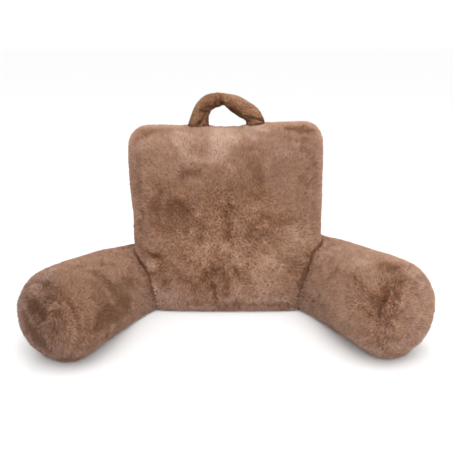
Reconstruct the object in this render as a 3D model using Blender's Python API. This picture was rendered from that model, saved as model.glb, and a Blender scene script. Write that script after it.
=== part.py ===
"""Reading pillow: a stuffed wedge back, two bolster arms and a twisted carrying handle.

Metres, +Z up, the sitter's side facing -Y. The origin is the centre of the back's flat base.
The surfaces are those that the tips of the short pile reach.
"""

import math

import bpy
import numpy as np

# Back cushion: level sections, from the flat base up to the rounded top edge
BASE_DEPTH = 0.204  # front to rear, on the floor
FRONT_RECLINE = math.radians(17.0)
REAR_RECLINE = math.radians(3.5)
FRONT_CROWN = 0.022  # how far the middle of the front panel bulges past its edge
REAR_CROWN = 0.016
CROWN_SPREAD = 2.6  # how flat the crown is across the back: 2 is an arc
CROWN_RISE = 4.0  # the same, up the back
TOP_HEIGHT = 0.402  # at the middle of the top edge
TOP_CORNER_RADIUS = 0.044  # in front view
TOP_ROUNDING = 0.045  # of the front and rear faces into the top edge
BASE_ROUNDING = 0.013  # of every face into the flat base
ARM_EDGE_ROUNDING = 0.022  # of the upright edges beside the arms
SIDE_EDGE_ROUNDING = 0.042  # of the upright edges above the arms
EDGE_CHANGE = (0.10, 0.20)  # heights between which the first becomes the second
SIDE_COLUMNS = ("height", "left", "right")  # half widths: the arm seams slant in to the base
SIDE_ROWS = (
    (0.000, 0.1620, 0.1765),
    (0.070, 0.1900, 0.2000),
    (0.141, 0.2145, 0.2225),
    (0.195, 0.2180, 0.2270),
    (0.270, 0.2275, 0.2305),
    (0.340, 0.2315, 0.2315),
    (0.430, 0.2310, 0.2305),
)
TOP_COLUMNS = ("across", "rise")  # how far the top edge stands above its middle
TOP_ROWS = (
    (-0.230, 0.002),
    (-0.130, 0.002),
    (-0.060, -0.001),
    (0.030, -0.001),
    (0.110, 0.008),
    (0.230, 0.013),
)
BACK_LEVELS = 30
BACK_ACROSS = 20  # points along the front or rear face
BACK_CORNER = 5  # steps round an upright edge
BACK_SIDE = 7  # points along a side

# Arms, drawn for the right side and mirrored for the left one. Each row is one section of the tube:
# its ends in plan, how high it stands on either side, how full it is (2 is an ellipse), how much
# of it the floor flattens, how far its top is ahead of its foot for each metre of height, and how
# far its inner side slopes outward for each metre of height.
ENDS_IN_PLAN = ("inner_x", "inner_y", "outer_x", "outer_y")
ARM_COLUMNS = (*ENDS_IN_PLAN, "high_left", "high_right", "fullness", "sink", "lean", "slope")
ARM_ROWS = (
    (0.120, -0.060, 0.120, 0.070, 0.100, 0.112, 3.2, 0.012, 0.38, 0.15),
    (0.167, -0.099, 0.188, 0.088, 0.120, 0.142, 3.2, 0.012, 0.38, 0.20),
    (0.180, -0.130, 0.246, 0.064, 0.126, 0.149, 2.8, 0.011, 0.30, 0.24),
    (0.190, -0.173, 0.300, 0.004, 0.140, 0.158, 2.6, 0.009, 0.18, 0.20),
    (0.201, -0.224, 0.346, -0.084, 0.158, 0.173, 2.4, 0.007, 0.08, 0.08),
    (0.216, -0.276, 0.381, -0.166, 0.175, 0.189, 2.2, 0.005, 0.02, 0.00),
    (0.234, -0.327, 0.400, -0.226, 0.186, 0.199, 2.1, 0.004, 0.00, 0.00),
)
ARM_STEPS = 4  # rings between two rows
ARM_POINTS = 36
# The two arms differ a little: where the end lies against the table, outward and to the rear, and
# how wide it is.
ARMS = {
    "left": {"mirror": -1.0, "high": "high_left", "drift": (0.002, -0.012), "width": 0.985},
    "right": {"mirror": 1.0, "high": "high_right", "drift": (0.009, -0.002), "width": 0.945},
}
# The stuffed end: the tube rounds in to a seam at 0.044 ahead, and the end panel swells past it.
END_COLUMNS = ("ahead", "size")
END_ROWS = (
    (0.012, 0.995),
    (0.023, 0.975),
    (0.033, 0.940),
    (0.040, 0.900),
    (0.044, 0.865),
    (0.050, 0.838),
    (0.059, 0.720),
    (0.066, 0.550),
    (0.071, 0.340),
    (0.073, 0.140),
)

# Carrying handle: where the tube's middle runs, across and above the top edge, and its half sizes.
# Its legs start inside the back and are trimmed to the back's surface.
HANDLE_COLUMNS = ("across", "above", "wide", "thin")
HANDLE_ROWS = (
    (-0.066, -0.0450, 0.0265, 0.0185),
    (-0.064, -0.0050, 0.0265, 0.0190),
    (-0.060, 0.0210, 0.0225, 0.0185),
    (-0.050, 0.0435, 0.0195, 0.0185),
    (-0.030, 0.0560, 0.0195, 0.0175),
    (-0.008, 0.0595, 0.0170, 0.0135),
    (0.003, 0.0585, 0.0150, 0.0130),
    (0.020, 0.0500, 0.0200, 0.0190),
    (0.042, 0.0365, 0.0215, 0.0200),
    (0.064, 0.0230, 0.0195, 0.0190),
    (0.070, 0.0010, 0.0225, 0.0190),
    (0.070, -0.0450, 0.0225, 0.0190),
)
HANDLE_STEPS = 4
HANDLE_POINTS = 16
HANDLE_TWIST = math.radians(200.0)  # from one leg to the other
HANDLE_BEHIND = 0.004  # behind the middle of the top edge

GAP = 0.0003  # between two pieces
THIN_TOP = 0.0004  # below the top edge, where the last section of the back lies

FUR = {
    "back_cushion": (0.292, 0.157, 0.102),
    "arm_left": (0.262, 0.148, 0.103),
    "arm_right": (0.286, 0.160, 0.110),
    "handle": (0.207, 0.102, 0.056),
}
FUR_ROUGHNESS = 0.95


def through(rows, steps):
    """Points on a smooth curve through the rows of a table, with this many steps between two rows."""
    rows = np.array(rows, float)
    tangents = np.gradient(rows, axis=0)
    points = []
    for start, end, leave, arrive in zip(rows, rows[1:], tangents, tangents[1:]):
        for t in np.arange(steps) / steps:
            points.append(
                (2 * t**3 - 3 * t**2 + 1) * start
                + (t**3 - 2 * t**2 + t) * leave
                + (3 * t**2 - 2 * t**3) * end
                + (t**3 - t**2) * arrive
            )
    return np.array(points + [rows[-1]])


def reader(columns, rows):
    """A function that smoothly reads a named column of a table at a value of the first column."""
    fine = through(rows, 12)
    return lambda name, at: float(np.interp(at, fine[:, 0], fine[:, columns.index(name)]))


half_width = reader(SIDE_COLUMNS, SIDE_ROWS)
top_edge = reader(TOP_COLUMNS, TOP_ROWS)


def rounding(distance, radius):
    """How far a face has drawn in at this distance from an edge of this radius."""
    left = np.clip(radius - distance, 0.0, radius)
    return radius - math.sqrt(radius**2 - left**2)


def crown(part, spread):
    """1 in the middle of a face and 0 at its edges; part runs from -1 to 1."""
    return (1.0 - min(abs(part), 1.0) ** spread) ** 0.8


def power(wave, fullness):
    """A sine or cosine, squared off so that an ellipse drawn with it becomes fuller."""
    return math.copysign(abs(wave) ** (2.0 / fullness), wave)


def back_section(height):
    """One level ring of the back: front face left to right, right side, rear face, left side."""
    below_top = TOP_HEIGHT - height
    foot = rounding(height, BASE_ROUNDING)
    top = rounding(below_top, TOP_ROUNDING)
    drawn_in = rounding(below_top, TOP_CORNER_RADIUS) + foot
    left = half_width("left", height) - drawn_in
    right = half_width("right", height) - drawn_in
    front = -BASE_DEPTH / 2 + height * math.tan(FRONT_RECLINE) + top + foot
    rear = BASE_DEPTH / 2 + height * math.tan(REAR_RECLINE) - top - foot
    radius = np.interp(height, EDGE_CHANGE, (ARM_EDGE_ROUNDING, SIDE_EDGE_ROUNDING))
    radius = min(radius, 0.46 * (rear - front))  # leaves some side between two roundings
    bulge = crown(2.0 * height / TOP_HEIGHT - 1.0, CROWN_RISE)

    def face(part, y, swell):
        x = part * (right if part > 0 else left)
        return (x, y - swell * bulge * crown(part, CROWN_SPREAD), height)

    def edge(x, y, start):
        turns = start + np.linspace(0.0, math.pi / 2, BACK_CORNER + 1)[1:-1]
        return [(x + radius * math.cos(t), y + radius * math.sin(t), height) for t in turns]

    across = np.linspace(radius / left - 1.0, 1.0 - radius / right, BACK_ACROSS)
    deep = np.linspace(front + radius, rear - radius, BACK_SIDE)
    ring = [face(part, front, FRONT_CROWN) for part in across]
    ring += edge(right - radius, front + radius, -math.pi / 2)
    ring += [(right, y, height) for y in deep]
    ring += edge(right - radius, rear - radius, 0.0)
    ring += [face(part, rear, -REAR_CROWN) for part in across[::-1]]
    ring += edge(radius - left, rear - radius, math.pi / 2)
    ring += [(-left, y, height) for y in deep[::-1]]
    ring += edge(radius - left, front + radius, math.pi)
    return np.array(ring)


def back_rings():
    """The level rings of the back, closer together near its base and its top."""
    turns = np.linspace(0.0, math.pi, BACK_LEVELS)
    levels = TOP_HEIGHT * (1.0 - np.cos(turns)) / 2
    levels[-1] = TOP_HEIGHT - THIN_TOP
    rings = [back_section(height) for height in levels]
    for ring in rings:
        lift = np.array([top_edge("rise", x) for x in ring[:, 0]])
        ring[:, 2] += lift * (ring[:, 2] / TOP_HEIGHT) ** 3
    return rings


def arm_ring(row, arm, along, size, ahead):
    """One ring of an arm. Along runs from 0 at the root to 1 at the end."""
    drift = along * np.array(arm["drift"])
    inner = np.array((row["inner_x"], row["inner_y"])) + drift
    outer = np.array((row["outer_x"], row["outer_y"])) + drift
    span = np.linalg.norm(outer - inner)
    chord = (outer - inner) / span
    forward = np.array((chord[1], -chord[0]))
    half = size * span / 2 * (1.0 + along * (arm["width"] - 1.0))
    high = row[arm["high"]]
    tall = (high + row["sink"]) / 2
    points = []
    for turn in np.arange(ARM_POINTS) * 2 * math.pi / ARM_POINTS:
        out = half * power(math.cos(turn), row["fullness"])
        height = max(0.0, high - tall + size * tall * power(math.sin(turn), row["fullness"]))
        out += row["slope"] * height * (1.0 - math.cos(turn)) / 2
        lead = ahead + row["lean"] * (height - high / 2)
        x, y = (inner + outer) / 2 + chord * out + forward * lead
        points.append((arm["mirror"] * x, y, height))
    return np.array(points if arm["mirror"] > 0 else points[::-1])


def arm_rings(arm):
    """The rings of one arm, from inside the back out to the middle of the end panel."""
    rows = [dict(zip(ARM_COLUMNS, row)) for row in through(ARM_ROWS, ARM_STEPS)]
    tube = [arm_ring(row, arm, k / (len(rows) - 1), 1.0, 0.0) for k, row in enumerate(rows)]
    ends = [dict(zip(END_COLUMNS, row)) for row in END_ROWS]
    return tube + [arm_ring(rows[-1], arm, 1.0, end["size"], end["ahead"]) for end in ends]


def handle_rings():
    """The rings of the handle, from one leg over the arch to the other."""
    rows = [dict(zip(HANDLE_COLUMNS, row)) for row in through(HANDLE_ROWS, HANDLE_STEPS)]
    lean = math.tan(REAR_RECLINE)
    ridge = TOP_HEIGHT * (math.tan(FRONT_RECLINE) + lean) / 2 + HANDLE_BEHIND
    path = np.array([(r["across"], ridge + r["above"] * lean, TOP_HEIGHT + r["above"]) for r in rows])
    rings = []
    for k, (row, step) in enumerate(zip(rows, np.gradient(path, axis=0))):
        along = step / np.linalg.norm(step)
        outward = np.cross((0.0, 1.0, 0.0), along)
        outward /= np.linalg.norm(outward)
        deep = np.cross(along, outward)
        twist = HANDLE_TWIST * k / (len(rows) - 1)
        flat_side = outward * math.cos(twist) + deep * math.sin(twist)
        thin_side = deep * math.cos(twist) - outward * math.sin(twist)
        turns = np.arange(HANDLE_POINTS) * 2 * math.pi / HANDLE_POINTS
        ring = [
            path[k] + flat_side * row["wide"] * math.cos(t) + thin_side * row["thin"] * math.sin(t)
            for t in turns
        ]
        rings.append(np.array(ring))
    return rings


def fan(first, size, points):
    """Triangles that close a ring round a new point in its middle."""
    points.append(tuple(np.mean(points[first : first + size], axis=0)))
    hub = len(points) - 1
    return [(first + i, first + (i + 1) % size, hub) for i in range(size)]


def ladder(first, size, _points):
    """Faces that close a level ring of the back: rungs from front to rear, and the two sides."""
    rear = BACK_ACROSS + 2 * (BACK_CORNER - 1) + BACK_SIDE
    last = rear + BACK_ACROSS - 1
    rungs = [(first + i, first + last - i) for i in range(BACK_ACROSS)]
    faces = [(a[0], b[0], b[1], a[1]) for a, b in zip(rungs, rungs[1:])]
    faces.append(tuple(range(first + BACK_ACROSS - 1, first + rear + 1)))
    faces.append((*range(first + last, first + size), first))
    return faces


def skin(name, rings, close):
    """A closed mesh object through rings of equal size, with its two ends closed by a function."""
    size = len(rings[0])
    points = [tuple(point) for ring in rings for point in ring]
    faces = []
    for k in range(len(rings) - 1):
        low, high = k * size, (k + 1) * size
        faces += [(low + i, low + (i + 1) % size, high + (i + 1) % size, high + i) for i in range(size)]
    faces += [face[::-1] for face in close(0, size, points)]
    faces += close((len(rings) - 1) * size, size, points)
    mesh = bpy.data.meshes.new(name)
    mesh.from_pydata(points, [], faces)
    mesh.shade_smooth()
    mesh.materials.append(fur_material(name))
    obj = bpy.data.objects.new(name, mesh)
    bpy.context.scene.collection.objects.link(obj)
    return obj


def fur_material(name):
    """A plain matt finish in the colour of one piece."""
    material = bpy.data.materials.new(name + "_fur")
    material.use_nodes = True
    shader = material.node_tree.nodes["Principled BSDF"]
    shader.inputs["Base Color"].default_value = (*FUR[name], 1.0)
    shader.inputs["Roughness"].default_value = FUR_ROUGHNESS
    shader.inputs["Metallic"].default_value = 0.0
    return material


def grown(obj):
    """A copy of a piece, larger all round by the gap, that trims what is sewn to it."""
    cutter = bpy.data.objects.new(obj.name + "_cutter", obj.data.copy())
    for wider, vertex in zip(cutter.data.vertices, obj.data.vertices):
        wider.co = vertex.co + vertex.normal * GAP
    cutter.hide_render = True
    cutter.display_type = "WIRE"
    bpy.context.scene.collection.objects.link(cutter)
    return cutter


def trim(obj, cutter):
    """Cuts the end of a piece to the surface that it is sewn to."""
    seam = obj.modifiers.new("seam", "BOOLEAN")
    seam.operation = "DIFFERENCE"
    seam.solver = "EXACT"
    seam.object = cutter


def build():
    for obj in list(bpy.data.objects):
        bpy.data.objects.remove(obj)
    back = skin("back_cushion", back_rings(), ladder)
    cutter = grown(back)
    for side, arm in ARMS.items():
        trim(skin("arm_" + side, arm_rings(arm), fan), cutter)
    trim(skin("handle", handle_rings(), fan), cutter)


build()
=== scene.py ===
import itertools
import math

import bpy
import numpy as np
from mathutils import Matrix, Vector
from mathutils.bvhtree import BVHTree


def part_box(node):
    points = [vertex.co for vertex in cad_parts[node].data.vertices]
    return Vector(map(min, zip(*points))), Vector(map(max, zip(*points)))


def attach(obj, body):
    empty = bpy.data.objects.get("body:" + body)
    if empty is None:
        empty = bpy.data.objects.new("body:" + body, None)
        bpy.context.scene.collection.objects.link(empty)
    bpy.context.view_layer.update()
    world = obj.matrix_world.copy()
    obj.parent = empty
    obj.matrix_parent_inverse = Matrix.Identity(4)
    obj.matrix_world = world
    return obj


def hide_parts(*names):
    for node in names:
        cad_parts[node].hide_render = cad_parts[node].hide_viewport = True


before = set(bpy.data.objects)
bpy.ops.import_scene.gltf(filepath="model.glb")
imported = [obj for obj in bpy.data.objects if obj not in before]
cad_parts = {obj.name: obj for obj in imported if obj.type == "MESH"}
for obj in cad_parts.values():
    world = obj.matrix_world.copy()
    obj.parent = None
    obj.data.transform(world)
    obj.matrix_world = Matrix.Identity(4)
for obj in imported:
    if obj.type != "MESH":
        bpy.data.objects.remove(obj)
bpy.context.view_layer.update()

SEED = 4181


def rows(columns, *values):
    """Rows with named columns."""
    return [dict(zip(columns, row)) for row in values]


def by_piece(columns, values):
    """One row with named columns for each piece of the pillow."""
    return {piece: dict(zip(columns, row)) for piece, row in values.items()}


# Camera: the photograph's view, from in front of the pillow and looking down on it a little.
PHOTO_SIZE = 452
PHOTO_MIDDLE = (225.5, 226.0)
FOCAL_PIXELS = 652.0
CAMERA_PLACE = (0.001, -1.4654, 0.6517)
CAMERA_PITCH = math.radians(18.0)
SENSOR = 36.0

# Studio: white light from all round, three soft lamps and a pale paper floor.
SKY = 1.06
LAMPS = rows(
    ("name", "place", "size", "watts"),
    ("lamp_top", (0.3, -0.5, 1.9), 1.6, 15.0),
    ("lamp_front", (0.9, -2.2, 1.2), 1.4, 16.0),
    ("lamp_rear", (-0.7, 2.0, 1.3), 1.4, 14.0),
)
LAMP_AIM = (0.0, -0.1, 0.15)
FLOOR_REACH = 12.0
PAPER = (0.92, 0.92, 0.92, 1.0)

# Skins: the sewn cloth under the pile. Depths are inside the CAD surface: the usual one, the one
# beside a seam, and the one of a sewn end, which reaches into the piece that it is sewn to. A skin
# is filled from a little deeper, its room, and may stay deeper by its slack.
SKIN = by_piece(
    ("voxel", "depth", "beside_seam", "sewn_end", "room", "slack"),
    {
        "back_cushion": (0.0080, 0.0048, 0.0012, 0.0012, 0.0030, 0.0014),
        "arm_left": (0.0080, 0.0050, 0.0012, -0.0015, 0.0030, 0.0016),
        "arm_right": (0.0080, 0.0050, 0.0012, -0.0015, 0.0030, 0.0016),
        "handle": (0.0035, 0.0012, 0.0010, -0.0025, 0.0006, 0.0006),
    },
)
SEAM_REACH = 0.014  # how far from a seam the skin sinks to its usual depth
SEWN_END = 0.006  # what faces another piece from this near is sewn to it
PROUD = 0.0008  # how far past its usual depth a skin may swell
SPARE_CLOTH = -0.02  # how much the cloth shrinks: less than nothing, so that it wrinkles softly
CLOTH_MASS = 0.3
PRESSURE = 4.0
FRAMES = 20
BACKING_COLOUR = (0.28, 0.115, 0.058)
BACKING_GRAIN = 260.0

# Pile: locks of hair stand on the skin, and each lock is a bunch of flat pointed blades. Lean is in
# degrees from upright.
PILE = by_piece(
    ("length", "lock_gap", "hairs", "width", "lean", "pieces"),
    {
        "back_cushion": (0.0075, 0.0033, 9, 0.0012, 38.0, 3),
        "arm_left": (0.0070, 0.0032, 9, 0.0010, 33.0, 2),
        "arm_right": (0.0070, 0.0032, 9, 0.0010, 33.0, 2),
        "handle": (0.0034, 0.0022, 8, 0.0008, 40.0, 1),
    },
)
FLOOR_CLEAR = 0.0006  # nothing is lower than this
BASE_BARE = 0.006  # no lock grows on the flat base, below this height
COVER_NEAR = 0.020  # a lock this near another piece is tested for being covered by it
COVER_REACH = 0.015  # and is left out where that piece is this near above it

# How a lock lies: how many degrees more it leans where the pile is brushed, how the lean differs
# between locks and from patch to patch, and how much more light pile leans than dark pile. Then how
# its heading and its length differ.
BRUSHED_LEAN = 16.0
LEAN_SPREAD = 9.0
LEAN_PATCH = 0.025
LEAN_PATCHES = 16.0
LEAN_PATCHES_BRUSHED = 9.0  # how much less they differ in brushed pile
LIGHT_LEAN = 30.0
HEADING_SPREAD = 0.40
HEADING_CALMED = 0.7  # how much less it differs in calm pile
LENGTH_PATCH = 0.008
LENGTH_PATCHES = 0.10
SEAM_CROP = 0.4  # how much shorter the hair is at an open seam
SEAM_CROP_REACH = 0.012
FOLD_CROP = 0.8  # how much shorter it is in a fold, for each 1.0 that the fold is darker

# How the hairs of a lock differ: how far from its middle they stand, in gaps between locks, how far
# apart their tips are for that, and their lean, length, heading, roll, width and tone.
LOCK_REACH = 0.62
LOCK_AREA = 1.6  # the reach is multiplied by the root of a number up to this one
TIPS_APART = 0.50
TIPS_APART_CALM = 0.4  # how much more in calm pile
HAIR_LEAN_SPREAD = 9.0
HAIR_LEANS = (5.0, 84.0)
HAIR_LENGTHS = (0.75, 1.15)
HAIR_SWAY = 0.32
HAIR_ROLL = 0.6
HAIR_WIDTHS = (0.7, 1.3)
HAIR_TONE = 0.13
HAIR_TONE_CALMED = 0.5  # how much less it differs in calm pile
HAIR_TONES = (0.02, 0.98)
ROOT_DEPTH = 0.0005  # how far inside the skin a hair starts

# Colours of the hair: dark, middle and light, the tints of the two fibres, and how a hair changes
# from its root to its tip.
HAIR_COLOURS = {
    "back_cushion": ((0.25, 0.105, 0.050), (0.49, 0.282, 0.184), (0.70, 0.485, 0.370)),
    # The left arm's colours are a darker copy of the right arm's: the same fur, with painted shade for the
    # arm further from the light.
    "arm_left": ((0.195, 0.093, 0.051), (0.39, 0.222, 0.148), (0.60, 0.420, 0.325)),
    "arm_right": ((0.23, 0.102, 0.050), (0.45, 0.262, 0.176), (0.66, 0.462, 0.357)),
    # The handle's dark colour is set low for the painted shade in its creases.
    "handle": ((0.09, 0.036, 0.014), (0.37, 0.203, 0.112), (0.64, 0.435, 0.305)),
}
DARK_TO_LIGHT = (0.01, 0.25, 0.49)  # where these three stand in one fibre's half of the map
FIBRES = ((1.04, 0.98, 0.86), (0.94, 1.04, 1.23))  # the warm and the greyer fibres
ROOT_TO_TIP = ((0.0, (0.48, 0.29, 0.18)), (0.45, (0.93, 0.90, 0.86)), (1.0, (1.01, 1.02, 1.04)))
ROOT_PLACE = 0.15  # where a blade's root and tip stand on the way from root to tip
ROOT_PLACE_CALM = 0.22  # how much further the root stands in calm pile
TIP_PLACE = 0.94
# Share of the greyer fibres: in rough pile, how much larger it is in calm pile, on outward faces and
# by the floor, and up to which height that is. The extra on outward faces is painted sheen and shade,
# and the extra by the floor is painted light bounced from the floor.
GREYER = by_piece(
    ("usual", "in_calm", "outward", "by_floor", "height"),
    {
        "back_cushion": (0.14, 0.46, 0.35, 0.48, 0.10),
        "arm_left": (0.17, 0.42, 0.80, 0.36, 0.11),
        "arm_right": (0.18, 0.58, 0.32, 0.48, 0.12),
        "handle": (0.04, 0.50, 0.20, 0.00, 0.06),
    },
)
# Tone, from 0 for dark to 1 for light: the usual one, and the painted top light: how much lighter a
# face is that looks up, and how much darker one that looks down.
TONE = by_piece(
    ("usual", "painted_top_light"),
    {
        "back_cushion": (0.50, 0.06),
        # The left arm's usual tone is lower than the right arm's: painted shade.
        "arm_left": (0.44, 0.08),
        "arm_right": (0.505, 0.06),
        "handle": (0.43, 0.34),
    },
)
# Lighter and darker patches, by their sizes and how much they differ, and how the locks differ.
PATCHES = ((0.026, 0.06), (0.012, 0.07), (0.006, 0.10))
PATCHES_CALMED = 0.6  # how much less the patches differ in calm pile
LOCK_TONE = 0.12
LOCK_TONE_CALMED = 0.8  # how much less the locks differ in calm pile

# Brushing: the pile of each piece fans out round a whorl at this pixel of the photograph. It is rough
# within about this radius, in metres, and brushed outside it. Then how strongly it fans out and swirls
# there, and how calm, which is smooth and even, it gets at most.
BRUSHING = by_piece(
    ("whorl", "radius", "fanned", "swirled", "calm"),
    {
        "back_cushion": ((228, 235), 0.13, 1.1, 1.0, 0.85),
        "arm_left": ((46, 312), 0.05, 0.55, 0.6, 0.40),
        "arm_right": ((384, 303), 0.05, 0.65, 0.6, 0.35),
        "handle": ((222, 97), 0.05, 1.1, 1.0, 0.40),
    },
)
WHORL_CENTRE = 0.3  # the share of its radius where nothing is brushed yet
WHORL_FAN = 0.15  # how strongly the pile fans out there
SWIRLS = ((0.050, 1.1), (0.018, 0.45))  # sizes of the swirls in the pile, and how strong they are

# Seams between two pieces: how strongly the pile leans away from one, how much painted shade darkens
# it there, and how far from it. A seam is open where it is high, and nearly shut by the floor.
PARTING = 2.5
PARTING_REACH = 0.012
SEAM_PAINTED_SHADE = 0.95
SEAM_SHADE = 0.0045
SEAM_OPEN = (0.18, 0.82)  # by the floor, and how much more where it is high
SEAM_OPENS = (0.03, 0.07)  # from which height, and over how much of it
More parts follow.
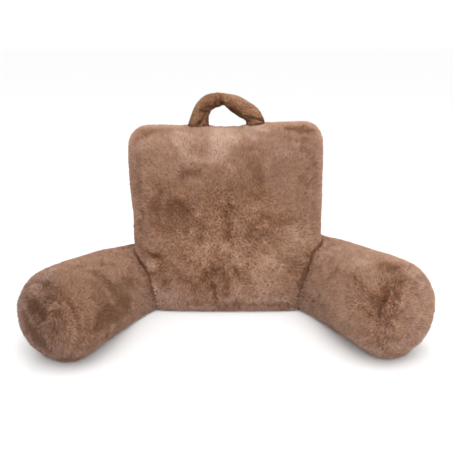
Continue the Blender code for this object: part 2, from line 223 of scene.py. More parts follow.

# Brush marks and painted light and shade: short strokes between two pixels of the photograph, how wide
# they are, in metres, and how much lighter the pile is there. They are partly brushed nap and partly
# painted light and shade: the dark ones in folds, by the seams and along the bottom edge are painted
# shade.
STROKE_COLUMNS = ("across", "down", "to_across", "to_down", "radius", "lift")
STROKES = {
    "back_cushion": rows(
        STROKE_COLUMNS,
        (222, 128, 218, 154, 0.030, 0.34),
        (180, 132, 192, 140, 0.014, 0.27),
        (246, 128, 260, 126, 0.016, 0.20),
        (138, 132, 170, 130, 0.014, -0.20),
        (145, 144, 172, 141, 0.018, 0.08),
        (180, 142, 187, 158, 0.018, 0.26),
        (268, 129, 290, 127, 0.012, -0.10),
        (288, 128, 313, 131, 0.014, -0.42),
        (134, 140, 150, 132, 0.014, -0.18),
        (138, 160, 140, 230, 0.014, -0.16),
        (314, 146, 315, 190, 0.018, -0.12),
        (184, 174, 200, 176, 0.012, -0.26),
        (242, 154, 257, 149, 0.018, -0.10),
        (252, 162, 256, 182, 0.018, -0.18),
        (222, 168, 226, 190, 0.012, 0.10),
        (155, 206, 186, 210, 0.023, -0.36),
        (158, 226, 172, 226, 0.022, -0.12),
        (152, 182, 168, 188, 0.020, -0.12),
        (228, 188, 227, 232, 0.015, -0.22),
        (248, 229, 272, 233, 0.014, -0.14),
        (262, 208, 277, 220, 0.014, -0.16),
        (202, 284, 205, 266, 0.009, -0.30),
        (212, 268, 214, 298, 0.009, -0.40),
        (222, 262, 225, 292, 0.008, -0.20),
        (233, 268, 239, 279, 0.009, -0.36),
        (165, 268, 180, 280, 0.010, -0.14),
        (196, 252, 216, 256, 0.018, 0.10),
        (236, 258, 266, 260, 0.020, 0.38),
        (212, 247, 242, 246, 0.018, 0.30),
        (225, 205, 245, 275, 0.050, 0.08),
        (238, 290, 262, 288, 0.012, 0.12),
        (247, 127, 262, 129, 0.014, 0.34),
        (230, 138, 236, 144, 0.012, 0.28),
        (276, 156, 290, 154, 0.014, 0.12),
        (154, 242, 166, 246, 0.014, -0.06),
        (140, 176, 142, 196, 0.014, -0.12),
        (160, 256, 176, 272, 0.018, -0.20),
        # painted shade along the bottom edge
        (204, 303, 284, 304, 0.012, -0.34),
        (184, 276, 200, 292, 0.016, -0.20),
        (291, 228, 300, 241, 0.014, 0.22),
        (288, 236, 266, 286, 0.030, 0.13),
        # painted shade in the fold by the left seam
        (142, 250, 159, 257, 0.009, -0.30),
        (300, 178, 308, 184, 0.012, -0.14),
        (312, 196, 314, 232, 0.018, -0.08),
        (290, 258, 302, 274, 0.012, -0.14),
        (176, 252, 190, 262, 0.012, -0.16),
        (252, 196, 268, 192, 0.010, -0.12),
        (264, 214, 272, 226, 0.010, -0.20),
        (296, 146, 304, 158, 0.012, 0.14),
        (151, 271, 168, 280, 0.013, -0.36),
        (184, 300, 197, 304, 0.012, -0.20),
        (226, 288, 236, 296, 0.010, -0.20),
        (304, 250, 310, 260, 0.010, -0.24),
        (295, 274, 297, 284, 0.010, -0.20),
        (304, 148, 316, 166, 0.012, -0.20),
        (182, 184, 188, 188, 0.010, -0.14),
        (266, 134, 292, 138, 0.012, -0.14),
        (242, 148, 250, 152, 0.010, -0.12),
        (254, 194, 260, 200, 0.010, -0.12),
        (246, 220, 254, 228, 0.010, 0.30),
        (160, 136, 172, 146, 0.010, -0.16),
        (142, 156, 152, 164, 0.010, -0.14),
        (130, 168, 134, 196, 0.012, -0.12),
        (142, 214, 168, 232, 0.016, -0.12),
        (202, 282, 218, 292, 0.012, -0.16),
        (224, 208, 228, 236, 0.012, -0.12),
        (242, 126, 256, 126, 0.010, 0.18),
        (194, 158, 210, 162, 0.012, 0.14),
        (246, 207, 264, 209, 0.013, 0.20),
        (235, 224, 241, 234, 0.012, 0.22),
        (196, 218, 196, 230, 0.012, 0.20),
        (204, 244, 206, 268, 0.012, 0.22),
        (252, 212, 256, 220, 0.012, 0.18),
        (286, 206, 294, 216, 0.010, 0.14),
        (206, 236, 214, 240, 0.010, 0.16),
        (224, 262, 230, 272, 0.010, 0.16),
        (296, 236, 302, 248, 0.010, 0.14),
        (192, 208, 204, 224, 0.014, 0.12),
        (251, 262, 258, 284, 0.012, 0.14),
        (228, 299, 284, 301, 0.012, 0.24),
        (158, 292, 172, 298, 0.012, 0.20),
        (280, 258, 292, 270, 0.012, -0.12),
        (294, 138, 308, 141, 0.012, -0.24),
        (181, 232, 184, 246, 0.009, 0.20),
        (156, 216, 168, 220, 0.009, -0.18),
        (228, 132, 240, 138, 0.009, 0.20),
        (254, 150, 262, 154, 0.009, -0.20),
        (226, 166, 238, 169, 0.007, 0.20),
        (252, 196, 260, 200, 0.009, -0.16),
        (146, 262, 154, 266, 0.007, 0.30),
        (224, 238, 229, 246, 0.009, -0.24),
        (228, 250, 236, 260, 0.009, -0.16),
        (152, 272, 156, 282, 0.007, -0.24),
        (256, 226, 262, 242, 0.010, 0.14),
        (158, 194, 168, 197, 0.010, -0.18),
        (246, 133, 256, 140, 0.010, 0.20),
        # painted light on the shade low in the left seam
        (153, 288, 157, 301, 0.009, 0.34),
        (258, 243, 268, 246, 0.010, 0.26),
    ),
    "arm_left": rows(
        STROKE_COLUMNS,
        # The dark strokes low on this end are partly brushed nap and partly painted shade on its side
        # turned from the light.
        (35, 302, 42, 310, 0.017, -0.42),
        (28, 302, 38, 314, 0.016, -0.34),
        (24, 316, 31, 332, 0.015, -0.34),
        (34, 334, 46, 350, 0.018, -0.38),
        (44, 290, 52, 298, 0.016, -0.20),
        (100, 262, 128, 266, 0.018, -0.12),
        (52, 308, 70, 334, 0.018, 0.15),
        (114, 290, 130, 282, 0.022, -0.35),
        (102, 318, 128, 303, 0.024, -0.37),
        (94, 282, 104, 298, 0.024, -0.22),
        (88, 330, 118, 318, 0.013, -0.14),
        (98, 272, 108, 284, 0.016, -0.18),
        (70, 266, 92, 270, 0.016, -0.10),
        (50, 268, 58, 266, 0.012, 0.20),
        (118, 264, 126, 262, 0.016, 0.12),
        (30, 284, 44, 275, 0.012, 0.16),
        (76, 264, 102, 262, 0.014, -0.24),
        (98, 266, 110, 280, 0.012, -0.14),
        (110, 250, 132, 247, 0.012, 0.32),
        (88, 292, 95, 302, 0.010, -0.22),
        (66, 306, 82, 314, 0.009, 0.18),
        (62, 348, 76, 350, 0.012, 0.16),
        (104, 274, 110, 280, 0.010, -0.16),
        (120, 300, 132, 312, 0.012, -0.16),
        (54, 310, 64, 314, 0.010, 0.16),
        (132, 276, 152, 288, 0.016, -0.16),
        (88, 296, 100, 304, 0.012, -0.14),
        (32, 312, 44, 344, 0.012, -0.16),
        (112, 294, 130, 298, 0.014, -0.18),
    ),
    "arm_right": rows(
        STROKE_COLUMNS,
        (380, 263, 390, 265, 0.015, -0.37),
        (391, 270, 400, 278, 0.015, -0.25),
        (384, 284, 388, 298, 0.014, -0.28),
        (372, 301, 384, 303, 0.012, -0.16),
        (381, 308, 380, 316, 0.010, -0.14),
        (360, 306, 366, 316, 0.012, -0.24),
        (396, 296, 397, 312, 0.010, 0.26),
        (328, 278, 334, 272, 0.014, -0.20),
        (340, 268, 352, 278, 0.012, -0.18),
        (359, 286, 364, 298, 0.014, -0.20),
        (362, 326, 372, 338, 0.014, -0.16),
        (410, 272, 421, 284, 0.012, 0.10),
        (308, 300, 326, 312, 0.014, -0.25),
        (362, 262, 369, 261, 0.012, 0.34),
        (320, 256, 340, 250, 0.022, 0.06),
        (366, 280, 372, 284, 0.014, 0.14),
        (402, 300, 416, 318, 0.028, 0.10),
        (376, 258, 396, 266, 0.014, -0.10),
        (375, 296, 381, 300, 0.010, -0.20),
        (388, 314, 392, 324, 0.012, 0.20),
        (384, 272, 404, 284, 0.014, -0.08),
        (352, 276, 366, 290, 0.014, -0.10),
        (412, 288, 420, 304, 0.012, -0.14),
        (360, 308, 368, 318, 0.010, -0.14),
        (324, 243, 340, 247, 0.010, 0.30),
        (308, 308, 322, 318, 0.010, -0.20),
        (328, 258, 344, 284, 0.014, -0.12),
        (388, 308, 398, 300, 0.014, 0.14),
        (325, 244, 342, 243, 0.012, 0.10),
        (392, 261, 403, 264, 0.009, -0.26),
        (338, 317, 350, 324, 0.012, 0.16),
        (352, 257, 362, 264, 0.012, 0.14),
        (388, 334, 398, 341, 0.012, -0.16),
        (374, 348, 386, 351, 0.008, 0.14),
    ),
    "handle": rows(
        STROKE_COLUMNS,
        # On the handle the dark strokes are painted shade in the creases of its twist and at its legs, and
        # the light ones are painted light on its top and legs.
        (218, 98, 220, 104, 0.007, -0.70),
        (215, 104, 223, 104, 0.005, -0.45),
        (201, 109, 208, 107, 0.008, -0.50),
        (212, 94, 224, 94, 0.007, 0.24),
        (202, 121, 196, 124, 0.005, -0.35),
        (233, 109, 243, 115, 0.008, -0.30),
        (246, 117, 259, 120, 0.004, -0.35),
        (198, 108, 204, 101, 0.009, -0.10),
        (206, 122, 206, 118, 0.005, 0.22),
        (248, 122, 256, 122, 0.006, 0.90),
        (214, 95, 223, 94, 0.006, 0.16),
        (226, 97, 242, 102, 0.010, 0.42),
        (246, 107, 257, 115, 0.009, 0.10),
        (206, 102, 212, 104, 0.008, -0.14),
        (194, 119, 197, 106, 0.008, 0.14),
    ),
}
STROKE_EDGE = 0.25  # a stroke is even up to this share of its radius, and then fades
STROKE_RAGGED = ((0.014, 0.008), (0.006, 0.004))  # sizes of the noise in its edge, and its reach

# Folds that the photograph shows, as soft troughs along a line of its pixels, with painted shade
# that darkens the pile in them.
FOLDS = rows(
    ("node", "width", "depth", "painted_shade", "path"),
    ("back_cushion", 0.0050, 0.0055, 0.50, ((139, 247), (149, 253), (160, 258))),
    ("back_cushion", 0.0060, 0.0030, 0.18, ((134, 226), (143, 236), (151, 246))),
    ("back_cushion", 0.0060, 0.0025, 0.15, ((133, 205), (143, 214), (153, 224))),
    ("back_cushion", 0.0035, 0.0020, 0.60, ((318, 242), (311.5, 255), (305, 269), (300, 280))),
    ("back_cushion", 0.0025, 0.0025, 0.40, ((298, 276), (295.5, 283), (297, 291))),
    ("back_cushion", 0.0050, 0.0012, 0.10, ((270, 303), (299, 305), (310, 306))),
    ("arm_right", 0.0030, 0.0020, 0.30, ((322, 239), (314, 255), (308, 269), (303, 281))),
    ("arm_right", 0.0030, 0.0035, 0.50, ((422, 298), (425.5, 311), (425, 325), (420, 336))),
    ("arm_left", 0.0030, 0.0025, 0.35, ((21, 313), (25, 318), (30, 326))),
    ("handle", 0.0045, 0.0060, 0.60, ((219, 95), (218, 98), (218.5, 102), (222, 105))),
    ("handle", 0.0035, 0.0040, 0.50, ((200, 111), (204, 112), (207, 112))),
    ("handle", 0.0030, 0.0060, 0.60, ((207, 112), (204, 117), (202, 121), (197, 125))),
    ("handle", 0.0030, 0.0050, 0.40, ((245.5, 117), (251, 118.5), (257, 119.5), (263, 121))),
)
# Seams that run right round a piece, each in a plane and a little wavy, with painted shade
# along them.
SEAMS = rows(
    ("node", "width", "depth", "painted_shade", "point", "normal"),
    ("back_cushion", 0.0030, 0.0012, 0.10, (0.0, 0.0, 0.009), (0.0, 0.0, 1.0)),
    ("back_cushion", 0.0030, 0.0015, 0.04, (0.0, 0.080, 0.400), (0.0, 1.0, -0.18)),
    ("arm_left", 0.0035, 0.0022, 0.14, (-0.342, -0.326, 0.0), (-0.52, -0.854, 0.0)),
    ("arm_right", 0.0035, 0.0022, 0.14, (0.346, -0.321, 0.0), (0.52, -0.854, 0.0)),
)
SEAM_WAVE = (0.030, 0.0015)  # the size of a seam's waves, and how far they go
SHOULDER = 0.25  # the cloth beside a trough is this share of its depth proud
SHOULDER_PLACE = 2.2  # this many widths from its bottom


def smooth(value):
    """A soft step from 0 at 0 to 1 at 1."""
    value = np.clip(value, 0.0, 1.0)
    return value * value * (3.0 - 2.0 * value)


def unit(vectors):
    """The vectors, each made 1 long."""
    return vectors / np.maximum(np.linalg.norm(vectors, axis=-1, keepdims=True), 1e-9)


def drift(points, scale, seed):
    """Smooth noise from -1 to 1 at each point, with features of this size in metres."""
    period = 48
    lattice = np.random.default_rng(seed).uniform(-1.0, 1.0, (period,) * 3)
    at = points / scale + 1000.0
    low = np.floor(at).astype(int)
    part = smooth(at - low)
    total = np.zeros(len(points))
    for corner in itertools.product((0, 1), repeat=3):
        weight = np.prod(np.where(corner, part, 1.0 - part), axis=1)
        total += weight * lattice[tuple(((low + corner) % period).T)]
    return total


def coordinates(mesh, kind="co"):
    """The mesh's vertex places, or its vertex normals, as an array."""
    found = np.zeros(len(mesh.vertices) * 3, np.float32)
    mesh.vertices.foreach_get(kind, found)
    return found.reshape(-1, 3).astype(float)


def triangles(mesh):
    """The mesh's triangles, as an array of vertex numbers."""
    mesh.calc_loop_triangles()
    found = np.zeros(len(mesh.loop_triangles) * 3, np.int32)
    mesh.loop_triangles.foreach_get("vertices", found)
    return found.reshape(-1, 3)


# ---------------------------------------------------------------- camera, floor and light


def add(name, data):
    """A new object in the scene."""
    obj = bpy.data.objects.new(name, data)
    bpy.context.scene.collection.objects.link(obj)
    return obj


def photo_camera():
    """The camera, at the photograph's place."""
    camera = add("camera", bpy.data.cameras.new("camera"))
    camera.data.sensor_width = SENSOR
    camera.data.lens = SENSOR * FOCAL_PIXELS / PHOTO_SIZE
    camera.location = CAMERA_PLACE
    camera.rotation_euler = (math.pi / 2 - CAMERA_PITCH, 0.0, 0.0)
    bpy.context.scene.camera = camera
    bpy.context.view_layer.update()
    return camera


def studio():
    """Plain soft light and a pale floor."""
    scene = bpy.context.scene
    scene.view_settings.view_transform = "Standard"
    world = bpy.data.worlds.new("studio")
    scene.world = world
    world.use_nodes = True
    world.node_tree.nodes["Background"].inputs["Color"].default_value = (1.0, 1.0, 1.0, 1.0)
    world.node_tree.nodes["Background"].inputs["Strength"].default_value = SKY

    floor = add("floor", bpy.data.meshes.new("floor"))
    corners = [(FLOOR_REACH * x, FLOOR_REACH * y, 0.0) for x, y in ((-1, -1), (1, -1), (1, 1), (-1, 1))]
    floor.data.from_pydata(corners, [], [(0, 1, 2, 3)])
    paper, _, shader = new_material("paper")
    shader.inputs["Base Color"].default_value = PAPER
    shader.inputs["Roughness"].default_value = 0.9
    floor.data.materials.append(paper)

    for lamp in LAMPS:
        light = add(lamp["name"], bpy.data.lights.new(lamp["name"], "AREA"))
        light.data.size = lamp["size"]
        light.data.energy = lamp["watts"]
        light.location = lamp["place"]
        aim = Vector(LAMP_AIM) - light.location
        light.rotation_euler = aim.to_track_quat("-Z", "Y").to_euler()


# ---------------------------------------------------------------- materials


def new_material(name):
    """A material, its node tree and its Principled shader."""
    material = bpy.data.materials.new(name)
    material.use_nodes = True
    return material, material.node_tree, material.node_tree.nodes["Principled BSDF"]


def ramp(tree, value, stops):
    """A colour ramp that reads a value."""
    node = tree.nodes.new("ShaderNodeValToRGB")
    while len(node.color_ramp.elements) < len(stops):
        node.color_ramp.elements.new(0.5)
    for element, (at, colour) in zip(node.color_ramp.elements, stops):
        element.position = at
        element.color = (*colour, 1.0)
    tree.links.new(value, node.inputs["Fac"])
    return node.outputs["Color"]


def times(tree, first, second):
    """Two colours multiplied."""
    node = tree.nodes.new("ShaderNodeMix")
    node.data_type = "RGBA"
    node.blend_type = "MULTIPLY"
    node.inputs["Factor"].default_value = 1.0
    tree.links.new(first, node.inputs["A"])
    tree.links.new(second, node.inputs["B"])
    return node.outputs["Result"]


def hair_material(name, colours):
    """Pile, coloured by its map: root to tip across it, and dark to light up it, once for each fibre."""
    material, tree, shader = new_material(name)
    place = tree.nodes.new("ShaderNodeUVMap")
    place.uv_map = "OFBake"
    parts = tree.nodes.new("ShaderNodeSeparateXYZ")
    tree.links.new(place.outputs["UV"], parts.inputs["Vector"])
    along = ramp(tree, parts.outputs["X"], ROOT_TO_TIP)
    stops = []
    for k, tint in enumerate(FIBRES):
        for at, colour in zip(DARK_TO_LIGHT, colours):
            stops.append((0.5 * k + at, [c * t for c, t in zip(colour, tint)]))
    tone = ramp(tree, parts.outputs["Y"], stops)
    tree.links.new(times(tree, tone, along), shader.inputs["Base Color"])
    shader.inputs["Roughness"].default_value = 0.75
    shader.inputs["Specular IOR Level"].default_value = 0.25
    shader.inputs["Sheen Weight"].default_value = 0.06
    shader.inputs["Sheen Roughness"].default_value = 0.4
    shader.inputs["Sheen Tint"].default_value = (0.95, 0.90, 0.92, 1.0)
    return material


def skin_material(name, colour):
    """The cloth that the pile grows on."""
    material, tree, shader = new_material(name)
    place = tree.nodes.new("ShaderNodeTexCoord")
    grain = tree.nodes.new("ShaderNodeTexNoise")
    grain.inputs["Scale"].default_value = BACKING_GRAIN
    grain.inputs["Detail"].default_value = 3.0
    tree.links.new(place.outputs["Object"], grain.inputs["Vector"])
    shade = [0.5 * c for c in colour]
    stops = [(0.3, shade), (0.7, colour)]
    tree.links.new(ramp(tree, grain.outputs["Fac"], stops), shader.inputs["Base Color"])
    bump = tree.nodes.new("ShaderNodeBump")
    bump.inputs["Strength"].default_value = 0.6
    bump.inputs["Distance"].default_value = 0.002
    tree.links.new(grain.outputs["Fac"], bump.inputs["Height"])
    tree.links.new(bump.outputs["Normal"], shader.inputs["Normal"])
    shader.inputs["Roughness"].default_value = 0.95
    return material


# ---------------------------------------------------------------- skins


def tree_of(node):
    """A search tree of a CAD node's surface."""
    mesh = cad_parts[node].data
    corners = [tuple(vertex.co) for vertex in mesh.vertices]
    return BVHTree.FromPolygons(corners, [tuple(face.vertices) for face in mesh.polygons])


def seen_at(tree, across, down):
    """Where the camera sees this surface through a pixel of the photograph, or None beside it."""
    view = Vector(
        ((across - PHOTO_MIDDLE[0]) / FOCAL_PIXELS, (PHOTO_MIDDLE[1] - down) / FOCAL_PIXELS, -1.0)
    )
    ray = (camera.matrix_world.to_3x3() @ view).normalized()
    return tree.ray_cast(camera.location, ray)[0]


def place_all(mesh, points):
    """Moves the mesh's vertices to these places."""
    mesh.vertices.foreach_set("co", points.astype(np.float32).ravel())
    mesh.update()


def applied(obj):
    """The object's mesh with its modifiers in it, and the object without them."""
    graph = bpy.context.evaluated_depsgraph_get()
    mesh = bpy.data.meshes.new_from_object(obj.evaluated_get(graph))
    obj.modifiers.clear()
    obj.data = mesh
    return mesh


def neighbours(points, normals, node):
    """How far each point is from another piece, the way there, and how squarely it faces that way."""
    others = [trees[name] for name in trees if name != node]
    found = [min((tree.find_nearest(p) for tree in others), key=lambda hit: hit[3]) for p in points]
    apart = np.array([hit[3] for hit in found])
    towards = unit(np.array([tuple(hit[0]) for hit in found]) - points)
    return apart, towards, (towards * normals).sum(1)


def skin_depths(points, normals, node):
    """How far inside the CAD surface the skin lies, and how free of a seam or the floor it is."""
    sizes = SKIN[node]
    apart, _, facing = neighbours(points, normals, node)
    rise = smooth(apart / SEAM_REACH)
    faces_down = smooth((-normals[:, 2] - 0.3) / 0.5)
    by_floor = smooth((0.02 - points[:, 2]) / 0.01)
    free = rise * (1.0 - faces_down * by_floor)
    depths = sizes["beside_seam"] + (sizes["depth"] - sizes["beside_seam"]) * free
    sewn = smooth((facing - 0.5) / 0.3) * (1.0 - smooth(apart / SEWN_END - 0.5))
    return depths + (sizes["sewn_end"] - depths) * sewn, free


def fold_path(node, path):
    """A fold's line on the CAD surface, as a close row of points."""
    pixels = []
    for start, end in zip(path, path[1:]):
        steps = max(2, round(math.dist(start, end)))
        pixels += [Vector(start).lerp(Vector(end), k / steps) for k in range(steps + 1)]
    seen = [seen_at(trees[node], *pixel) for pixel in pixels]
    return np.array([tuple(place) for place in seen if place])


def troughs(node, points):
    """How deep the folds and seams are at each point, and how much painted shade darkens the pile there.
    """
    depth, painted_shade = np.zeros(len(points)), np.zeros(len(points))
    gaps = []
    for fold in FOLDS:
        if fold["node"] == node:
            line = fold_path(node, fold["path"])
            gaps.append((fold, np.linalg.norm(points[:, None] - line, axis=2).min(1)))
    for seam in SEAMS:
        if seam["node"] == node:
            normal = unit(np.array(seam["normal"]))
            size, reach = SEAM_WAVE
            wave = reach * drift(points, size, SEED + 11)
            gaps.append((seam, np.abs((points - np.array(seam["point"])) @ normal + wave)))
    for trough, gap in gaps:
        away = gap / trough["width"]
        bottom, shoulder = np.exp(-(away**2)), np.exp(-((away - SHOULDER_PLACE) ** 2))
        depth += trough["depth"] * (bottom - SHOULDER * shoulder)
        painted_shade += trough["painted_shade"] * bottom
    return depth, painted_shade


def swell(obj, pinned):
    """Fills the skin: cloth under pressure, held at its pinned points."""
    group = obj.vertex_groups.new(name="sewn")
    group.add([int(i) for i in pinned], 1.0, "REPLACE")
    cloth = obj.modifiers.new("filling", "CLOTH")
    cloth.settings.quality = 4
    cloth.settings.mass = CLOTH_MASS
    cloth.settings.vertex_group_mass = "sewn"
    cloth.settings.use_pressure = True
    cloth.settings.uniform_pressure_force = PRESSURE
    cloth.settings.shrink_min = SPARE_CLOTH
    cloth.settings.effector_weights.gravity = 0.0
    cloth.point_cache.frame_start = 1
    cloth.point_cache.frame_end = FRAMES
    for number in range(1, FRAMES + 1):
        bpy.context.scene.frame_set(number)
    applied(obj)
    bpy.context.scene.frame_set(1)


def skin_of(node, material):
    """The sewn and filled skin of one piece, inside the space that its CAD solid holds."""
    sizes = SKIN[node]
    obj = add(node + "_skin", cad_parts[node].data.copy())
    obj.data.materials.clear()
    remesh = obj.modifiers.new("even", "REMESH")
    remesh.mode = "VOXEL"
    remesh.voxel_size = sizes["voxel"]
    mesh = applied(obj)
    start, normals = coordinates(mesh), coordinates(mesh, "normal")
    depths, free = skin_depths(start, normals, node)
    room = sizes["room"]
    place_all(mesh, start - normals * (depths + room * free)[:, None])
    swell(obj, np.flatnonzero(free < 0.5))
    points = coordinates(obj.data)
    for i, point in enumerate(points):
        place, out, _, _ = trees[node].find_nearest(point)
        depth = (place - Vector(point)).dot(out)
        kept = min(max(depth, depths[i] - PROUD * free[i]), depths[i] + sizes["slack"] * free[i])
        points[i] = place - out * kept
    place_all(obj.data, points)
    finer = obj.modifiers.new("finer", "SUBSURF")
    finer.levels = finer.render_levels = 1
    mesh = applied(obj)
    points = coordinates(mesh)
    points = points - coordinates(mesh, "normal") * troughs(node, points)[0][:, None]
    points[:, 2] = np.maximum(points[:, 2], FLOOR_CLEAR)
    place_all(mesh, points)
    mesh.shade_smooth()
    mesh.materials.append(material)
    return obj


# ---------------------------------------------------------------- pile


def lock_places(mesh, gap, rng):
    """Evenly spread places on a mesh and the smooth normals there."""
    corners = triangles(mesh)
    points, normals = coordinates(mesh)[corners], coordinates(mesh, "normal")[corners]
    sides = np.cross(points[:, 1] - points[:, 0], points[:, 2] - points[:, 0])
    due = np.cumsum(np.linalg.norm(sides, axis=1) / 2 / gap**2) + rng.uniform()
    count = np.diff(np.floor(np.concatenate(([0.0], due)))).astype(int)
    chosen = np.repeat(np.arange(len(corners)), count)
    mix = rng.dirichlet((1.5, 1.5, 1.5), len(chosen))[:, :, None]
    return (points[chosen] * mix).sum(1), unit((normals[chosen] * mix).sum(1))


def open_locks(places, normals, node):
    """Which locks aren't covered by another piece, how far each is from one, and the way there."""
    others = [trees[name] for name in trees if name != node]
    apart, towards, _ = neighbours(places, normals, node)
    shown = np.ones(len(places), bool)
    for i in np.flatnonzero(apart < COVER_NEAR):
        place, out = Vector(places[i]), Vector(normals[i])
        shown[i] = not any(tree.ray_cast(place, out, COVER_REACH)[0] for tree in others)
    shown &= (normals[:, 2] > -0.9) | (places[:, 2] > BASE_BARE)
    return shown, apart, towards


def seam_pull(places):
    """How open a seam between two pieces is."""
    (shut, more), (start, rise) = SEAM_OPEN, SEAM_OPENS
    return shut + more * smooth((places[:, 2] - start) / rise)


def flow_at(node, places, normals, apart, towards):
    """Which way the pile is brushed at each place, along the surface, and how smoothly."""
    brush = BRUSHING[node]
    away = places - np.array(seen_at(trees[node], *brush["whorl"]))
    if node == "back_cushion":  # outward in front, rearward on the sides and inward behind
        away[:, 1] = 0.0
    brushed = smooth(np.linalg.norm(away, axis=1) / brush["radius"] - WHORL_CENTRE)
    if node == "back_cushion":
        rearward = np.array((0.0, 1.0, 0.0)) * (1.0 - np.abs(normals[:, 1:2]))
        away = unit(away) * -normals[:, 1:2] + rearward
    way = unit(away) * (WHORL_FAN + brush["fanned"] * brushed)[:, None]
    for size, strength in SWIRLS:
        way += brush["swirled"] * strength * np.stack([drift(places, size, SEED + k) for k in range(3)], 1)
    parted = seam_pull(places) * (1.0 - smooth(apart / PARTING_REACH))
    way -= PARTING * towards * parted[:, None]
    low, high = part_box(node)
    height = (places[:, 2] - low[2]) / (high[2] - low[2])
    calm = brush["calm"] * brushed * (0.4 + 0.6 * smooth(1.5 * height - 0.5))
    return unit(way - normals * (way * normals).sum(1, keepdims=True)), brushed, calm


def tone_at(node, places, normals, apart, calm, rng):
    """How light the locks are, about 0.5 on average."""
    # painted top light: faces that look up are lighter, faces that look down darker
    tone = TONE[node]["usual"] + TONE[node]["painted_top_light"] * normals[:, 2]
    for size, amount in PATCHES:
        patch = drift(places, size, SEED + round(1000 * size))
        tone += amount * (1.0 - PATCHES_CALMED * calm) * patch
    tone += (1.0 - LOCK_TONE_CALMED * calm) * rng.normal(0.0, LOCK_TONE, len(places))
    ragged = places.copy()
    for size, shift in STROKE_RAGGED:
        ragged += shift * np.stack([drift(places, size, SEED + 20 + k) for k in range(3)], 1)
    # strokes: partly brushed nap, partly painted light and shade
    for mark in STROKES[node]:
        start = np.array(seen_at(trees[node], mark["across"], mark["down"]))
        run = np.array(seen_at(trees[node], mark["to_across"], mark["to_down"])) - start
        share = np.clip((ragged - start) @ run / (run @ run), 0.0, 1.0)
        reach = np.linalg.norm(ragged - start - share[:, None] * run, axis=1)
        tone += mark["lift"] * (1.0 - smooth(reach / mark["radius"] - STROKE_EDGE))
    # painted shade along the seams between pieces
    return tone - SEAM_PAINTED_SHADE * seam_pull(places) * (1.0 - smooth(apart / SEAM_SHADE))


def grey_share(node, places, normals, calm):
    """The share of greyer fibres in each lock."""
    share = GREYER[node]
    # painted light bounced from the floor low down, and painted sheen and shade on outward faces, as more
    # greyer fibres
    low = 1.0 - smooth(places[:, 2] / share["height"])
    outward = np.clip(normals[:, 0] * np.sign(places[:, 0]), 0.0, 1.0)
    usual = share["usual"] + share["in_calm"] * calm
    return usual + share["outward"] * outward + share["by_floor"] * low


def lay_locks(node, places, normals, apart, towards, rng):
    """Which way each lock lies and its side, then its lean, length, tone and calm."""
    pile, count = PILE[node], len(places)
    flow, brushed, calm = flow_at(node, places, normals, apart, towards)
    # painted shade in the folds and seams
    painted_shade = troughs(node, places)[1]
    tone = tone_at(node, places, normals, apart, calm, rng) - painted_shade
    lean = pile["lean"] + BRUSHED_LEAN * brushed + (1.0 - calm) * rng.normal(0.0, LEAN_SPREAD, count)
    patches = LEAN_PATCHES - LEAN_PATCHES_BRUSHED * brushed
    lean += patches * drift(places, LEAN_PATCH, SEED + 5)
    lean -= LIGHT_LEAN * np.clip(0.5 - tone, -0.3, 0.6)
    crop = SEAM_CROP * seam_pull(places) * (1.0 - smooth(apart / SEAM_CROP_REACH))
    length = pile["length"] * (1.0 - crop)
    length *= 1.0 + LENGTH_PATCHES * drift(places, LENGTH_PATCH, SEED + 6) - FOLD_CROP * painted_shade
    side = np.cross(normals, flow)
    heading = rng.normal(0.0, HEADING_SPREAD, count) * (1.0 - HEADING_CALMED * calm)
    flow, side = (
        flow * np.cos(heading)[:, None] + side * np.sin(heading)[:, None],
        side * np.cos(heading)[:, None] - flow * np.sin(heading)[:, None],
    )
    return flow, side, lean, length, tone, calm


def lay_hairs(node, places, normals, apart, towards, rng):
    """Every hair's blade, as its corners, its tone, how calm it is and whether it is a greyer one."""
    pile = PILE[node]
    flow, side, lean, length, tone, calm = lay_locks(node, places, normals, apart, towards, rng)
    grey = grey_share(node, places, normals, calm)

    def each(values):
        return np.repeat(values, pile["hairs"], axis=0)

    total = len(places) * pile["hairs"]
    turn = rng.uniform(0.0, 2 * math.pi, total)
    reach = LOCK_REACH * pile["lock_gap"] * np.sqrt(rng.uniform(0.0, LOCK_AREA, total))
    spread = reach[:, None] * (
        each(flow) * np.cos(turn)[:, None] + each(side) * np.sin(turn)[:, None]
    )
    lean = each(lean) + rng.normal(0.0, HAIR_LEAN_SPREAD, total)
    lean = np.radians(np.clip(lean, *HAIR_LEANS))
    tall = each(length) * rng.uniform(*HAIR_LENGTHS, total)
    sway = rng.normal(0.0, HAIR_SWAY, total)[:, None]
    way = unit(each(flow) + each(side) * sway)
    root = each(places) + spread - each(normals) * ROOT_DEPTH
    tip = (
        each(places)
        + spread * each(TIPS_APART + TIPS_APART_CALM * calm)[:, None]
        + each(normals) * (tall * np.cos(lean))[:, None]
        + way * (tall * np.sin(lean))[:, None]
    )
    along = unit(tip - root)
    flat = unit(np.cross(each(normals), along))
    roll = rng.normal(0.0, HAIR_ROLL, total)[:, None]
    across = flat * np.cos(roll) + np.cross(flat, along) * np.sin(roll)
    across *= pile["width"] / 2 * rng.uniform(*HAIR_WIDTHS, total)[:, None]
    differs = each(1.0 - HAIR_TONE_CALMED * calm) * rng.normal(0.0, HAIR_TONE, total)
    shade = np.clip(each(tone) + differs, *HAIR_TONES)
    corners = np.stack([root - across, root + across, tip], 1)
    corners[:, :, 2] = np.maximum(corners[:, :, 2], FLOOR_CLEAR)
    facing = np.cross(corners[:, 1] - corners[:, 0], corners[:, 2] - corners[:, 0])
    turned = (facing * each(normals)).sum(1) < 0
    corners[turned] = corners[turned][:, (1, 0, 2)]
    return corners, shade, each(calm), rng.uniform(size=total) < each(grey)


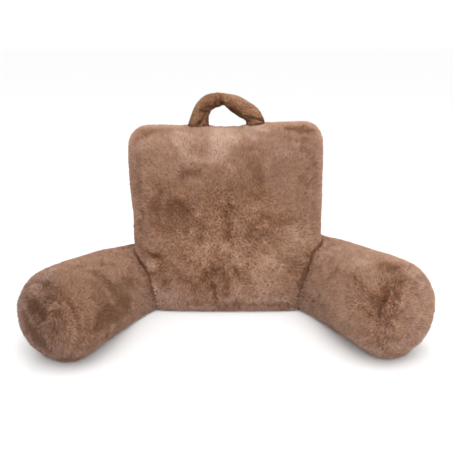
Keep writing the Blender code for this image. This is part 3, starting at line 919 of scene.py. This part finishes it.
def pile_mesh(name, corners, shade, calm, grey, material):
    """One mesh of separate blades, with a map that holds how far along and how light each one is.

    The lower half of the map is for the warm fibres and the upper half for the greyer ones.
    """
    count = len(corners)
    mesh = bpy.data.meshes.new(name)
    mesh.vertices.add(count * 3)
    mesh.vertices.foreach_set("co", corners.astype(np.float32).ravel())
    mesh.loops.add(count * 3)
    mesh.loops.foreach_set("vertex_index", np.arange(count * 3, dtype=np.int32))
    mesh.polygons.add(count)
    mesh.polygons.foreach_set("loop_start", np.arange(0, count * 3, 3, dtype=np.int32))
    layer = mesh.uv_layers.new(name="OFBake")
    place = np.zeros((count, 3, 2))
    place[:, :2, 0] = ROOT_PLACE + ROOT_PLACE_CALM * calm[:, None]
    place[:, 2, 0] = TIP_PLACE
    place[:, :, 1] = (0.5 * (shade + grey))[:, None] + np.array((-0.003, 0.003, 0.0))
    layer.uv.foreach_set("vector", place.astype(np.float32).ravel())
    mesh.update(calc_edges=True)
    mesh.validate()
    mesh.materials.append(material)
    return add(name, mesh)


def grow_pile(skin, node, material):
    """The pile of one skin, in a few meshes."""
    rng = np.random.default_rng(SEED + sorted(trees).index(node))
    pile = PILE[node]
    places, normals = lock_places(skin.data, pile["lock_gap"], rng)
    shown, apart, towards = open_locks(places, normals, node)
    kept = [values[shown] for values in (places, normals, apart, towards)]
    blades = lay_hairs(node, *kept, rng)
    order = np.argsort(np.repeat(kept[0][:, 1], pile["hairs"]), kind="stable")
    made = []
    for k, part in enumerate(np.array_split(order, pile["pieces"])):
        name = f"{node}_pile_{k + 1}"
        made.append(pile_mesh(name, *(values[part] for values in blades), material))
    return made


# ---------------------------------------------------------------- the pillow

camera = photo_camera()
studio()
trees = {node: tree_of(node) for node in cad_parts}

backing = skin_material("backing", BACKING_COLOUR)

SLOTS = {
    "back_cushion": "back_fur",
    "arm_left": "arm_fur",
    "arm_right": "arm_fur",
    "handle": "handle_fur",
}
for node, slot in SLOTS.items():
    skin = skin_of(node, backing)
    hair = hair_material(node + "_pile", HAIR_COLOURS[node])
    for piece in [skin, *grow_pile(skin, node, hair)]:
        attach(piece, "root")
        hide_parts(node)
